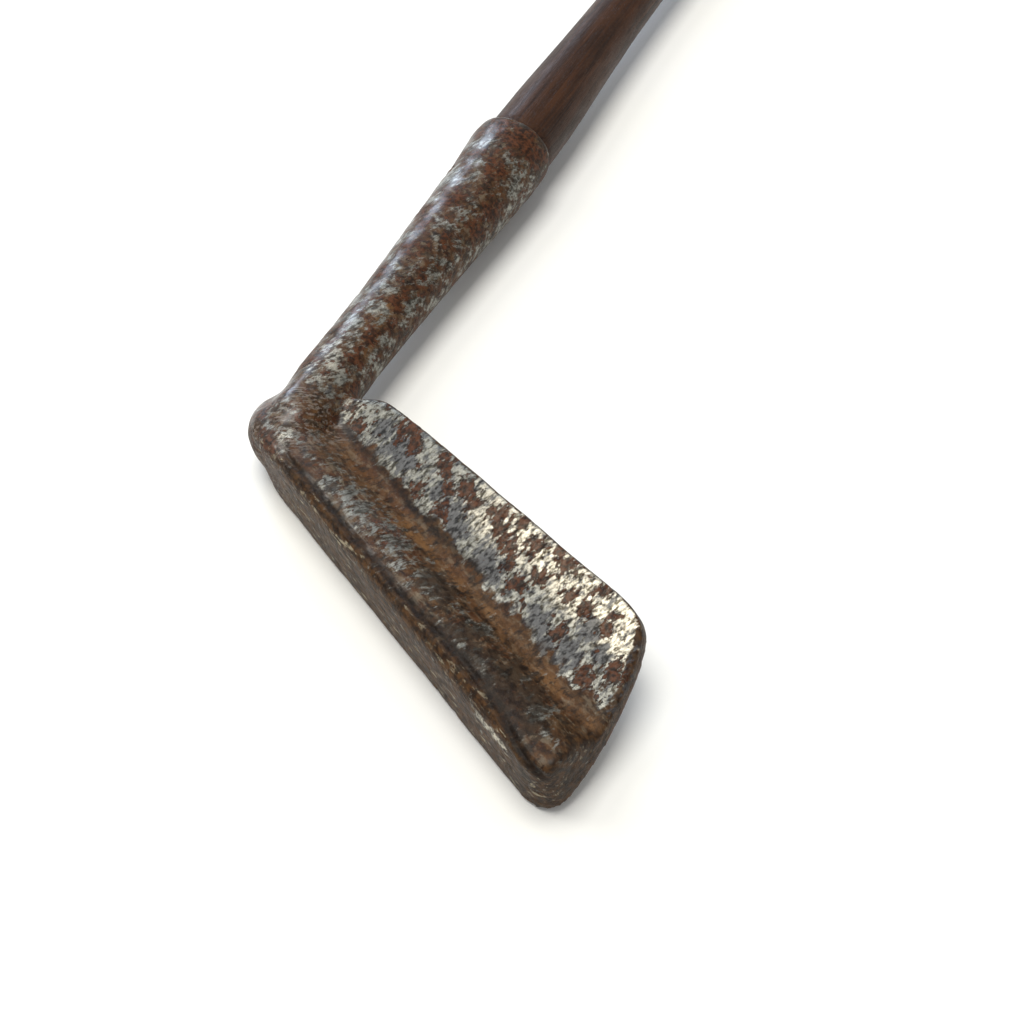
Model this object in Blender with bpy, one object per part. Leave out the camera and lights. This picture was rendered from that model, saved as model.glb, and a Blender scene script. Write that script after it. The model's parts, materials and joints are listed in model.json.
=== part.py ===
"""Hickory-shafted golf iron: a forged muscle-back head on a tapered wooden shaft with a leather grip.

The club lies face down, on its leading edge and on the upper end of its grip. +Y runs up the
shaft to the butt, +X is the toe's side and +Z is up. The origin is the middle of the club's
box, on the plane it lies on. Every piece is fixed: nothing on the club moves.
"""

import math

import bmesh
import bpy
from mathutils import Matrix, Vector

MM = 0.001
GAP = 0.3 * MM  # air left between pieces that touch on the real club
ROUND_STEPS = 40  # facets round a turned piece
SHARP_ANGLE = math.radians(38)

# Club
CLUB_LENGTH = 952 * MM  # along the shaft's axis, from the sole line to the butt
LIE = math.radians(62.7)  # between the shaft's axis and the sole
LOFT = math.radians(25)  # between the face and the shaft's axis
AXIS_HEIGHT = 9.5 * MM  # of the shaft's axis over the leading edge, at the sole line

# Blade, in its own frame: x from heel to toe, w up the face, t from the face to the back
HEEL_ARC_X = 12.6 * MM  # half lengths of the quarter ellipse that rounds the sole into the heel
HEEL_ARC_W = 7.6 * MM
TOE_END_X = 83.2 * MM
TOE_CORNER = 5.5 * MM  # radius where the sole turns up into the toe
TOP_THICKNESS = 3.4 * MM  # of the blade at its top line
BACK_THICKNESS = 4.1 * MM  # of the blade just above the muscle
EDGE_ROUND = 0.7 * MM
SECTION_STEPS = 3  # points between two of the section's own

# Back of the blade, from above the valley over the muscle and down the sole: (w, t)
MUSCLE_BACK = [
    (18.6, 4.1),
    (16.3, 4.4),
    (14.9, 5.3),
    (13.7, 7.1),
    (12.4, 9.5),
    (10.7, 11.7),
    (8.8, 12.9),
    (6.9, 13.6),
    (5.4, 13.6),
    (4.6, 12.8),
    (2.4, 6.6),
]

# Outline of the blade on its face, from the heel over the top line to the toe: (x, w)
TOP_LINE = [(-6.0, 20.5), (-1.5, 22.6), (1.4, 24.9), (4.2, 26.3), (16.5, 28.0), (41.5, 30.8)]
TOE_ROUND = [(62.0, 33.1), (67.8, 33.2), (71.4, 32.0), (73.9, 29.2)]
TOE_SIDE = [(76.8, 24.4), (79.7, 17.7), (82.0, 10.8), (83.2, 4.0), (83.2, -3.0)]
HEEL_SIDE = [(-13.5, -3.0), (-12.0, 7.0), (-10.5, 14.0)]

# Hosel: (distance up the axis, radius)
HOSEL_FOOT = 0.5 * MM
HOSEL_MOUTH = 96 * MM
HOSEL_PROFILE = [
    (1.6, 4.2),
    (4.5, 6.2),
    (8.5, 7.0),
    (14, 6.8),
    (22, 6.35),
    (30, 6.3),
    (42, 6.5),
    (50, 6.75),
    (60, 7.2),
    (70, 7.55),
    (79, 8.0),
    (87, 8.25),
    (92.5, 8.3),
    (94.8, 8.15),
]
RIM_RADIUS = 7.9 * MM
HEEL_CENTRE = Vector((-1.8, 1.0, 6.0)) * MM  # of the swelling where hosel and blade meet
HEEL_RADII = Vector((6.4, 6.2, 6.2)) * MM

# Socket: the tapered bore that holds the shaft's tenon
SOCKET_BOTTOM = 34 * MM
SOCKET_BOTTOM_RADIUS = 4.9 * MM
SOCKET_MOUTH_RADIUS = 7.35 * MM

# Hosel pin
PIN_PLACE = 79 * MM
PIN_RADIUS = 1.2 * MM
PIN_LENGTH = 15.9 * MM
PIN_TURN = math.radians(-32)  # of the pin about the shaft, from level

# Shaft above the socket: (distance up the axis, radius)
SHAFT_PROFILE = [
    (97.5, 7.5),
    (108, 7.45),
    (118, 7.1),
    (130, 6.6),
    (147, 6.1),
    (165, 5.85),
    (200, 5.75),
    (300, 5.95),
    (450, 6.6),
    (600, 7.4),
    (680, 7.85),
]
BUTT_RADIUS = 9.3 * MM
BUTT_CHAMFER = 0.8 * MM

# Grip
GRIP_LENGTH = 266 * MM
UNDERLISTING_THICKNESS = 0.9 * MM
LEATHER_THICKNESS = 1.5 * MM
LEATHER_SHORT = 1.2 * MM  # of the butt
STRIP_PITCH = 22 * MM  # between turns of the leather strip
STRIP_STEP = 0.5 * MM  # where each turn overlaps the last

# Whippings: turns of waxed thread over the leather's two ends
THREAD = 0.9 * MM
LOWER_TURNS = 15
UPPER_TURNS = 10
UPPER_WHIPPING_DOWN = 13 * MM  # from the butt to the whipping's upper end

# Grip tacks
TACK_HEAD_RADIUS = 2.6 * MM
TACK_HEAD_HEIGHT = 1.1 * MM
TACK_SHANK_RADIUS = 0.65 * MM
TACK_SHANK_LENGTH = 7.5 * MM
LOWER_TACK_UP = 14 * MM  # from the leather's lower end
BUTT_TACK_DOWN = 6.5 * MM
TACK_STEPS = 16


def clear_scene():
    for old in list(bpy.data.objects):
        bpy.data.objects.remove(old, do_unlink=True)


def finish(name, colour, roughness, metallic):
    material = bpy.data.materials.new(name)
    material.use_nodes = True
    shader = material.node_tree.nodes["Principled BSDF"]
    shader.inputs["Base Color"].default_value = (*colour, 1.0)
    shader.inputs["Roughness"].default_value = roughness
    shader.inputs["Metallic"].default_value = metallic
    return material


def empty(name, parent, place, turn):
    axes = bpy.data.objects.new(name, None)
    axes.location = place
    axes.rotation_euler = turn
    axes.parent = parent
    bpy.context.scene.collection.objects.link(axes)
    return axes


def piece(name, mesh, parent, material=None):
    mesh.shade_smooth()
    mesh.set_sharp_from_angle(angle=SHARP_ANGLE)
    ob = bpy.data.objects.new(name, mesh)
    ob.parent = parent
    bpy.context.scene.collection.objects.link(ob)
    if material:
        mesh.materials.append(material)
    return ob


def mesh_of(bm, name):
    bmesh.ops.recalc_face_normals(bm, faces=bm.faces)
    mesh = bpy.data.meshes.new(name)
    bm.to_mesh(mesh)
    bm.free()
    return mesh


def as_cutter(ob):
    ob.hide_render = True
    ob.display_type = "WIRE"
    return ob


def boolean(ob, operation, other):
    step = ob.modifiers.new(f"{operation.lower()}_{other.name}", "BOOLEAN")
    step.operation = operation
    step.object = other
    step.solver = "EXACT"


def turned(name, profile, parent, material=None, steps=ROUND_STEPS, closed=False):
    """A body turned about its parent's Z: profile is (z, radius), down the outer side."""
    bm = bmesh.new()
    points = [bm.verts.new((radius, 0, z)) for z, radius in profile]
    for a, b in zip(points, points[1:]):
        bm.edges.new((a, b))
    if closed:
        bm.edges.new((points[-1], points[0]))
    mesh = bpy.data.meshes.new(name)
    bm.to_mesh(mesh)
    bm.free()
    ob = piece(name, mesh, parent, material)
    screw = ob.modifiers.new("turn", "SCREW")
    screw.steps = steps
    screw.render_steps = steps
    screw.use_merge_vertices = True
    screw.merge_threshold = 0.00001
    screw.use_smooth_shade = True
    return ob


def loft(sections, name):
    """A closed body through rings of points, with its first and last ring filled."""
    bm = bmesh.new()
    rings = [[bm.verts.new(point) for point in section] for section in sections]
    count = len(rings[0])
    for ring, following in zip(rings, rings[1:]):
        for i in range(count):
            j = (i + 1) % count
            bm.faces.new((ring[i], ring[j], following[j], following[i]))
    bm.faces.new(rings[0])
    bm.faces.new(rings[-1])
    return mesh_of(bm, name)


def smooth_line(points, steps):
    """Points on the Catmull-Rom curve through the given ones."""
    line = [Vector(points[0])]
    padded = [points[0], *points, points[-1]]
    for a, b, c, d in zip(padded, padded[1:], padded[2:], padded[3:]):
        a, b, c, d = Vector(a), Vector(b), Vector(c), Vector(d)
        for step in range(1, steps + 1):
            u = step / steps
            line.append(
                0.5
                * (
                    2 * b
                    + (c - a) * u
                    + (2 * a - 5 * b + 4 * c - d) * u * u
                    + (3 * b - a - 3 * c + d) * u**3
                )
            )
    return line


def on_blade(x, w, t):
    """A place in the blade's frame: x along the sole, w up the face, t off the face."""
    across = w * math.cos(LOFT) - t * math.sin(LOFT)
    up = w * math.sin(LOFT) + t * math.cos(LOFT)
    return Vector((x, across, up))


def end_lift(x):
    """How far the sole has turned up at x, near the heel and the toe."""
    if x < 0:
        share = min(1.0, -x / HEEL_ARC_X)
        return HEEL_ARC_W * (1 - math.sqrt(1 - share * share))
    into_corner = min(max(0.0, x - (TOE_END_X - TOE_CORNER)), TOE_CORNER)
    return TOE_CORNER - math.sqrt(TOE_CORNER**2 - into_corner**2)


def muscle_share(x):
    """The muscle's height at x, against its height at mid blade."""
    if x < 0:
        return math.sqrt(1 - 0.8 * min(1.0, -x / HEEL_ARC_X) ** 2)
    return 1 - 0.1 * x / TOE_END_X


def blade_section(x):
    """The blade's closed cross-section at x, from the leading edge up the face and round."""
    top_w = 36 * MM
    lift = end_lift(x)
    share = muscle_share(x)
    section = [on_blade(x, lift, 0), on_blade(x, top_w, 0), on_blade(x, top_w, TOP_THICKNESS)]
    for w, t in smooth_line(MUSCLE_BACK, SECTION_STEPS):
        w, t = w * MM, t * MM
        t = min(t, BACK_THICKNESS) + share * max(0.0, t - BACK_THICKNESS)
        fall = max(0.0, 1 - w / (16 * MM))
        section.append(on_blade(x, w + lift * fall, t))
    return section


def blade():
    """Face, top line, muscle and sole: a swept section trimmed to the blade's outline."""
    heel = [-HEEL_ARC_X * share for share in (1.0, 0.97, 0.9, 0.78, 0.6, 0.35)]
    toe = [TOE_END_X - TOE_CORNER * share for share in (1.0, 0.5, 0.22, 0.06, 0.0)]
    stations = [*heel, 0.0, *toe]
    return loft([blade_section(x) for x in stations], "blade")


def blade_outline():
    """A prism square to the face, as wide as the blade is long."""
    points = smooth_line([(x, w) for x, w in [*TOP_LINE, *TOE_ROUND, *TOE_SIDE]], 3)
    points += [Vector(place) for place in HEEL_SIDE]
    below, above = -2 * MM, 20 * MM
    rings = [[on_blade(x * MM, w * MM, t) for x, w in points] for t in (below, above)]
    return loft(rings, "blade_outline")


def heel_swelling():
    bm = bmesh.new()
    bmesh.ops.create_uvsphere(bm, u_segments=28, v_segments=16, radius=1)
    bmesh.ops.transform(bm, matrix=Matrix.Diagonal((*HEEL_RADII, 1)), verts=bm.verts)
    bmesh.ops.translate(bm, vec=HEEL_CENTRE, verts=bm.verts)
    return mesh_of(bm, "heel_swelling")


def hosel_profile():
    body = [(y * MM, radius * MM) for y, radius in reversed(HOSEL_PROFILE)]
    rim = [(HOSEL_MOUTH, 0.0), (HOSEL_MOUTH, RIM_RADIUS)]
    return [*rim, *body, (HOSEL_FOOT, 0.0)]


def rod(name, radius, length, parent, place, axis, material=None, steps=TACK_STEPS):
    """A plain round rod centred on place, along axis."""
    bm = bmesh.new()
    bmesh.ops.create_cone(
        bm, cap_ends=True, segments=steps, radius1=radius, radius2=radius, depth=length
    )
    turn = Vector((0, 0, 1)).rotation_difference(axis).to_matrix().to_4x4()
    bmesh.ops.transform(bm, matrix=Matrix.Translation(place) @ turn, verts=bm.verts)
    return piece(name, mesh_of(bm, name), parent, material)


def socket_radius(y):
    share = (y - SOCKET_BOTTOM) / (HOSEL_MOUTH - SOCKET_BOTTOM)
    return SOCKET_BOTTOM_RADIUS + share * (SOCKET_MOUTH_RADIUS - SOCKET_BOTTOM_RADIUS)


def pin_axis():
    return Vector((math.cos(PIN_TURN), -math.sin(PIN_TURN), 0))


def iron_head(sole_frame, shaft_frame, material):
    """One forging: blade, heel and hosel, with the socket and the pin's hole through it."""
    head = piece("iron_head", blade(), sole_frame, material)
    outline = as_cutter(piece("blade_outline", blade_outline(), sole_frame))
    hosel = as_cutter(turned("hosel_body", hosel_profile(), shaft_frame))
    swelling = as_cutter(piece("heel_swelling", heel_swelling(), shaft_frame))
    past_mouth = HOSEL_MOUTH + 10 * MM
    socket = [
        (past_mouth, 0.0),
        (past_mouth, socket_radius(past_mouth)),
        (SOCKET_BOTTOM, SOCKET_BOTTOM_RADIUS),
        (SOCKET_BOTTOM, 0.0),
    ]
    bore = as_cutter(turned("socket_bore", socket, shaft_frame))
    place = Vector((0, 0, PIN_PLACE))
    hole = rod("pin_hole", PIN_RADIUS + GAP, 30 * MM, shaft_frame, place, pin_axis())
    as_cutter(hole)
    boolean(head, "INTERSECT", outline)
    bevel = head.modifiers.new("edge_round", "BEVEL")
    bevel.width = EDGE_ROUND
    bevel.segments = 2
    bevel.limit_method = "ANGLE"
    bevel.angle_limit = math.radians(45)
    boolean(head, "UNION", hosel)
    boolean(head, "UNION", swelling)
    boolean(head, "DIFFERENCE", bore)
    boolean(head, "DIFFERENCE", hole)
    return head


def hosel_pin(shaft_frame, material):
    """The rivet that keeps the shaft in the socket, filed flush at both ends."""
    place = Vector((0, 0, PIN_PLACE))
    return rod("hosel_pin", PIN_RADIUS, PIN_LENGTH, shaft_frame, place, pin_axis(), material)


def shaft_radius(y):
    """The shaft's radius above the hosel, at a distance up the axis."""
    stations = [(place * MM, radius * MM) for place, radius in SHAFT_PROFILE]
    stations.append((CLUB_LENGTH, BUTT_RADIUS))
    for (low, r_low), (high, r_high) in zip(stations, stations[1:]):
        if y <= high:
            return r_low + (r_high - r_low) * (y - low) / (high - low)
    return BUTT_RADIUS


def shaft(shaft_frame, holes, material):
    """Hickory: a tenon in the socket, a whippy neck, then a slow swell to the butt."""
    shoulder = HOSEL_MOUTH + GAP
    profile = [(CLUB_LENGTH, 0.0), (CLUB_LENGTH, BUTT_RADIUS - BUTT_CHAMFER)]
    profile.append((CLUB_LENGTH - BUTT_CHAMFER, shaft_radius(CLUB_LENGTH - BUTT_CHAMFER)))
    profile += [(y * MM, radius * MM) for y, radius in reversed(SHAFT_PROFILE)]
    profile.append((shoulder, SHAFT_PROFILE[0][1] * MM - 0.3 * MM))
    profile.append((shoulder, socket_radius(shoulder) - GAP))
    tenon_end = SOCKET_BOTTOM + GAP
    profile.append((tenon_end, socket_radius(tenon_end) - GAP))
    profile.append((tenon_end, 0.0))
    wood = turned("shaft", profile, shaft_frame, material)
    for hole in holes:
        boolean(wood, "DIFFERENCE", hole)
    return wood


def grip_bottom():
    return CLUB_LENGTH - GRIP_LENGTH


def underlisting_inner(y):
    return shaft_radius(y) + GAP


def leather_inner(y):
    return underlisting_inner(y) + UNDERLISTING_THICKNESS + GAP


def leather_outer(y):
    return leather_inner(y) + LEATHER_THICKNESS


def leather_top():
    return CLUB_LENGTH - LEATHER_SHORT


def underlisting(shaft_frame, holes, material):
    """The cloth strip wound on the wood under the leather."""
    top, bottom = leather_top() - 2 * MM, grip_bottom() + 4 * MM
    profile = [
        (top, underlisting_inner(top) + UNDERLISTING_THICKNESS),
        (bottom, underlisting_inner(bottom) + UNDERLISTING_THICKNESS),
        (bottom, underlisting_inner(bottom)),
        (top, underlisting_inner(top)),
    ]
    cloth = turned("grip_underlisting", profile, shaft_frame, material, closed=True)
    for hole in holes:
        boolean(cloth, "DIFFERENCE", hole)
    return cloth


def whipping_span(upper):
    """The lowest and highest points of a whipping along the axis."""
    if upper:
        top = CLUB_LENGTH - UPPER_WHIPPING_DOWN
        return top - UPPER_TURNS * THREAD, top
    return grip_bottom() - 4 * THREAD, grip_bottom() + (LOWER_TURNS - 4) * THREAD


def strip_lap(y, turn):
    """How proud the leather strip stands, rising over each turn to the edge of the next."""
    bottom = whipping_span(upper=False)[1] + 1 * MM
    top = whipping_span(upper=True)[0] - 1 * MM
    fade = min(max(0.0, y - bottom), max(0.0, top - y), 6 * MM) / (6 * MM)
    return fade * STRIP_STEP * ((y / STRIP_PITCH - turn) % 1.0)


def grip_leather(shaft_frame, holes, material):
    """A leather strip wound up the grip: its edge shows as one long spiral step."""
    steps = 24
    bottom, top = grip_bottom(), leather_top()
    rows = 96
    outer = [bottom + (top - bottom) * row / rows for row in range(rows + 1)]
    bm = bmesh.new()
    rings = []
    for y in outer:
        ring = []
        for step in range(steps):
            turn = step / steps
            radius = leather_outer(y) + strip_lap(y, turn)
            angle = math.tau * turn
            ring.append(bm.verts.new((radius * math.cos(angle), radius * math.sin(angle), y)))
        rings.append(ring)
    for y in (top, bottom):
        radius = leather_inner(y)
        circle = [math.tau * step / steps for step in range(steps)]
        ring = [bm.verts.new((radius * math.cos(a), radius * math.sin(a), y)) for a in circle]
        rings.append(ring)
    rings.append(rings[0])
    for ring, following in zip(rings, rings[1:]):
        for i in range(steps):
            j = (i + 1) % steps
            bm.faces.new((ring[i], ring[j], following[j], following[i]))
    leather = piece("grip_leather", mesh_of(bm, "grip_leather"), shaft_frame, material)
    for hole in holes:
        boolean(leather, "DIFFERENCE", hole)
    return leather


def whipping(name, upper, shaft_frame, material):
    """Turns of waxed thread side by side: a sleeve with one rib to a turn."""
    bottom, top = whipping_span(upper)
    turns = UPPER_TURNS if upper else LOWER_TURNS
    step_at = grip_bottom() - GAP

    def inner(y):
        clear = leather_outer(y) if y > step_at else shaft_radius(y)
        return clear + GAP

    profile = []
    for turn in range(turns):
        y = top - turn * THREAD
        middle = y - THREAD / 2
        profile.append((y, inner(middle) + 0.55 * THREAD))
        profile.append((middle, inner(middle) + THREAD))
    profile.append((bottom, inner(bottom + THREAD / 2) + 0.55 * THREAD))
    profile.append((bottom, inner(bottom)))
    if not upper:
        profile.append((step_at, shaft_radius(step_at) + GAP))
        profile.append((step_at, leather_outer(step_at) + GAP))
    profile.append((top, inner(top)))
    return turned(name, profile, shaft_frame, material, steps=24, closed=True)


def tack_sites():
    """Where each grip tack goes in: (name, distance up the axis, direction outward)."""
    return [
        ("lower_grip_tack", grip_bottom() + LOWER_TACK_UP, Vector((0, -1, 0))),
        ("butt_tack", CLUB_LENGTH - BUTT_TACK_DOWN, Vector((0.6, -0.8, 0))),
    ]


def tack_seat(y):
    """The height over the axis of a tack head's underside."""
    return leather_outer(y) + GAP


def tack_hole(name, y, outward, shaft_frame):
    length = 2 * TACK_SHANK_LENGTH
    place = Vector((0, 0, y)) + outward * (tack_seat(y) - TACK_SHANK_LENGTH - GAP + length / 2)
    radius = TACK_SHANK_RADIUS + GAP
    return as_cutter(rod(f"{name}_hole", radius, length, shaft_frame, place, outward))


def tack(name, y, outward, shaft_frame, material):
    """A domed steel tack, head and shank in one."""
    seat = tack_seat(y)
    dome = [
        (TACK_HEAD_HEIGHT * math.sin(angle), TACK_HEAD_RADIUS * math.cos(angle))
        for angle in (math.radians(a) for a in (90, 60, 32, 8))
    ]
    dome[0] = (TACK_HEAD_HEIGHT, 0.0)
    profile = [
        *dome,
        (0.0, TACK_HEAD_RADIUS),
        (0.0, TACK_SHANK_RADIUS),
        (-0.7 * TACK_SHANK_LENGTH, TACK_SHANK_RADIUS),
        (-TACK_SHANK_LENGTH, 0.0),
    ]
    turn = Vector((0, 0, 1)).rotation_difference(outward).to_euler()
    at = empty(f"{name}_seat", shaft_frame, Vector((0, 0, y)) + outward * seat, turn)
    return turned(name, profile, at, material, steps=TACK_STEPS)


def evaluated_corners(ob):
    shaped = ob.evaluated_get(bpy.context.evaluated_depsgraph_get())
    return [shaped.matrix_world @ vertex.co for vertex in shaped.data.vertices]


def centre_on_rest_plane(club, nodes):
    """Moves the club so that its box is centred on the origin and stands on Z = 0."""
    bpy.context.view_layer.update()
    points = [point for node in nodes for point in evaluated_corners(node)]
    low = Vector([min(point[i] for point in points) for i in range(3)])
    high = Vector([max(point[i] for point in points) for i in range(3)])
    club.location = Vector((-(low.x + high.x) / 2, -(low.y + high.y) / 2, -low.z))
    bpy.context.view_layer.update()


def main():
    clear_scene()
    iron = finish("rusted_iron", (0.23, 0.14, 0.10), 0.55, 0.6)
    hickory = finish("dark_hickory", (0.16, 0.07, 0.045), 0.45, 0.0)
    steel = finish("pin_steel", (0.42, 0.38, 0.35), 0.45, 0.9)
    felt = finish("underlisting_cloth", (0.30, 0.26, 0.20), 0.95, 0.0)
    hide = finish("grip_leather", (0.10, 0.06, 0.04), 0.60, 0.0)
    thread = finish("waxed_thread", (0.03, 0.025, 0.02), 0.55, 0.0)

    club = empty("club", None, (0, 0, 0), (0, 0, 0))
    sole_frame = empty("sole_frame", club, (0, 0, 0), (0, 0, LIE - math.pi / 2))
    upper_end = sum(whipping_span(upper=True)) / 2
    rest_radius = leather_outer(upper_end) + GAP + THREAD
    tilt = math.asin((rest_radius - AXIS_HEIGHT) / upper_end)
    turn = (tilt - math.pi / 2, 0, 0)
    shaft_frame = empty("shaft_frame", club, (0, 0, AXIS_HEIGHT), turn)

    sites = tack_sites()
    tack_holes = [tack_hole(name, y, outward, shaft_frame) for name, y, outward in sites]
    head = iron_head(sole_frame, shaft_frame, iron)
    pin_hole = bpy.data.objects["pin_hole"]
    nodes = [
        head,
        hosel_pin(shaft_frame, steel),
        shaft(shaft_frame, [pin_hole, *tack_holes], hickory),
        underlisting(shaft_frame, tack_holes, felt),
        grip_leather(shaft_frame, tack_holes, hide),
        whipping("lower_whipping", False, shaft_frame, thread),
        whipping("upper_whipping", True, shaft_frame, thread),
    ]
    nodes += [tack(name, y, outward, shaft_frame, steel) for name, y, outward in sites]
    centre_on_rest_plane(club, nodes)


main()
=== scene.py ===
"""Looks of the hickory-shafted golf iron: rusted forged head, stained shaft, leather grip and thread.

Every piece is laid out along the club's own shaft and blade, whose places come from the frame's
mounts. Lengths in the shape functions and in the materials are millimetres.
"""

import json
import math
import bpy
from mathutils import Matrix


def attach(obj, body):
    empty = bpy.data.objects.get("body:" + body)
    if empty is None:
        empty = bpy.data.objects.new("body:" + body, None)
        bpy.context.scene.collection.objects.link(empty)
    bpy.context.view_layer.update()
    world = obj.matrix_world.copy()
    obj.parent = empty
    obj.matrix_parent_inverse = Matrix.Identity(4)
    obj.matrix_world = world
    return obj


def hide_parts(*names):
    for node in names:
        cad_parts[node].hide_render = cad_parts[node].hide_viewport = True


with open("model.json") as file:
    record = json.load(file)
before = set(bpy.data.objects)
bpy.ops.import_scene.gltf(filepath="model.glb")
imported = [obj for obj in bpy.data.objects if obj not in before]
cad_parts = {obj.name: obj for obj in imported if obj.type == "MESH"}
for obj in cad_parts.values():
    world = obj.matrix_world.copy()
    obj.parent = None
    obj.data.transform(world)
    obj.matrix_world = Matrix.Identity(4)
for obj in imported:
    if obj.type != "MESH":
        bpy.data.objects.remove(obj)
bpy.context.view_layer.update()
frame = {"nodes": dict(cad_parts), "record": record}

from types import SimpleNamespace

import bpy
import numpy as np
from mathutils import Matrix, Vector, noise

MM = 0.001
TURN = 2 * math.pi
BODY = "root"

# The club, as the frame has it
CLUB_LENGTH = 952.0  # along the shaft's axis, from the sole line to the butt
AXIS_HEIGHT = 9.5  # of the axis over the table at the sole line
BUTT_CHAMFER = 0.8
HOSEL_MOUTH = 96.0
SOCKET_BOTTOM = 34.0
PIN_PLACE = 79.0
PIN_RADIUS = 1.45
PIN_HALF = 7.98
PIN_ANGLE = math.radians(-32)
GRIP_BOTTOM = 686.0
LEATHER_TOP = 950.8
STRIP_PITCH = 22.0
STRIP_LAP = 1.6
STRIP_PROUD = 0.45
LEATHER_THICK = 1.5
THREAD_RADIUS = 0.45
LOWER_WHIPPING = (682.4, 15)  # lowest point, turns
UPPER_WHIPPING = (930.0, 10)
LOWER_TACK = (700.0, math.radians(90))  # place up the axis, angle round it
BUTT_TACK = (945.5, math.radians(53.13))
TACK_HEAD = (2.6, 1.1)
TACK_SHANK = (0.65, 7.5)

# The forging's mesh
VOXEL = 0.45
HEAD_SEED = Vector((3.7, 9.1, 5.3))

MOUNTS = {mount["name"]: mount for mount in frame["record"]["mounts"]}


def unit(way):
    way = np.asarray(way, float)
    return way / np.linalg.norm(way)


SHAFT_WAY = unit(MOUNTS["butt_end"]["axis"])
FACE_BACK = -unit(MOUNTS["striking_face"]["axis"])
SOLE_WAY = unit(np.cross((0, 0, 1), FACE_BACK))
UP_FACE = np.cross(FACE_BACK, SOLE_WAY)
TOE_SIDE = np.array((1.0, 0.0, 0.0))
UP_SIDE = np.cross(TOE_SIDE, SHAFT_WAY)
AXIS_FOOT = np.array(MOUNTS["butt_end"]["pos_m"]) / MM - CLUB_LENGTH * SHAFT_WAY
HEEL_POINT = AXIS_FOOT - np.array((0, 0, AXIS_HEIGHT))
ACROSS_HEEL = unit((0.888, 0.459, 0))  # level, from outside the heel across the head


# ---------------------------------------------------------------- measures


def ease(value, low, high):
    """0 below low, 1 above high, and a smooth rise between them."""
    share = np.clip((np.asarray(value, float) - low) / (high - low), 0, 1)
    return share * share * (3 - 2 * share)


def hump(value, middle, width):
    return np.exp(-(((np.asarray(value, float) - middle) / width) ** 2))


def on_blade(points):
    """(x, w, t) of points: heel to toe, up the face, and off the face, in mm."""
    away = points - HEEL_POINT
    return away @ SOLE_WAY, away @ UP_FACE, away @ FACE_BACK


def off_axis(points):
    """How points stand off the shaft's axis, square to it."""
    away = points - AXIS_FOOT
    return away - np.outer(away @ SHAFT_WAY, SHAFT_WAY)


def on_shaft(points):
    """(up, radius, angle) of points round the shaft's axis, in mm and radians."""
    up, out = (points - AXIS_FOOT) @ SHAFT_WAY, off_axis(points)
    return up, np.linalg.norm(out, axis=1), np.arctan2(out @ UP_SIDE, out @ TOE_SIDE)


def circle(angle, side=TOE_SIDE, other=UP_SIDE):
    """Points of a circle of radius 1, at angles from one side to another: round the shaft unless told."""
    return np.multiply.outer(np.cos(angle), side) + np.multiply.outer(np.sin(angle), other)


def round_shaft(up, radius, angle):
    """The point at a distance up the shaft, a radius and an angle."""
    up, radius, angle = np.broadcast_arrays(up, radius, angle)
    return AXIS_FOOT + up[..., None] * SHAFT_WAY + radius[..., None] * circle(angle)


def blade_point(x, w, t):
    return HEEL_POINT + x * SOLE_WAY + w * UP_FACE + t * FACE_BACK


def lumps(points, size, seed=HEAD_SEED):
    """Smooth noise from about -1 to 1 at each point, with lumps of a size in mm."""
    return np.array([noise.noise(Vector(point) / size + seed) for point in points])


def mesh_points(mesh):
    flat = np.empty(len(mesh.vertices) * 3)
    mesh.vertices.foreach_get("co", flat)
    return flat.reshape(-1, 3) / MM


def set_points(mesh, points):
    mesh.vertices.foreach_set("co", (points * MM).ravel())
    mesh.update()


def mesh_normals(mesh):
    flat = np.empty(len(mesh.vertices) * 3)
    mesh.vertex_normals.foreach_get("vector", flat)
    return flat.reshape(-1, 3)


def paint(mesh, name, values):
    """Stores one number for each vertex, for the materials to read."""
    layer = mesh.attributes.new(name, "FLOAT", "POINT")
    layer.data.foreach_set("value", np.asarray(values, np.float32))


# ---------------------------------------------------------------- pieces


def piece(name, mesh, material, node):
    """An object of the club, which stands for a CAD node and takes its finish from a slot."""
    thing = bpy.data.objects.new(name, mesh)
    bpy.context.scene.collection.objects.link(thing)
    mesh.materials.clear()
    mesh.materials.append(material)
    mesh.shade_smooth()
    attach(thing, BODY)
    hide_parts(node)
    return thing


def skin_rings(name, rings, capped=True, closed=False):
    """A mesh over rings of points, each with the same count, in mm."""
    rings = np.asarray(rings)
    rows, count = rings.shape[:2]
    faces = []
    for row in range(rows if closed else rows - 1):
        low, high = row * count, (row + 1) % rows * count
        for i in range(count):
            j = (i + 1) % count
            faces.append((low + i, low + j, high + j, high + i))
    if capped:
        faces.append(tuple(reversed(range(count))))
        faces.append(tuple(range((rows - 1) * count, rows * count)))
    mesh = bpy.data.meshes.new(name)
    mesh.from_pydata((rings.reshape(-1, 3) * MM).tolist(), [], faces)
    mesh.update()
    return mesh


# ---------------------------------------------------------------- forged head


def even_mesh(node, voxel):
    """A fine, even mesh over a CAD node."""
    rough = bpy.data.objects.new("rough_forging", frame["nodes"][node].data.copy())
    bpy.context.scene.collection.objects.link(rough)
    remesh = rough.modifiers.new("even_mesh", "REMESH")
    remesh.mode = "VOXEL"
    remesh.voxel_size = voxel * MM
    shaped = rough.evaluated_get(bpy.context.evaluated_depsgraph_get())
    mesh = bpy.data.meshes.new_from_object(shaped)
    bpy.data.objects.remove(rough)
    return mesh


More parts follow.
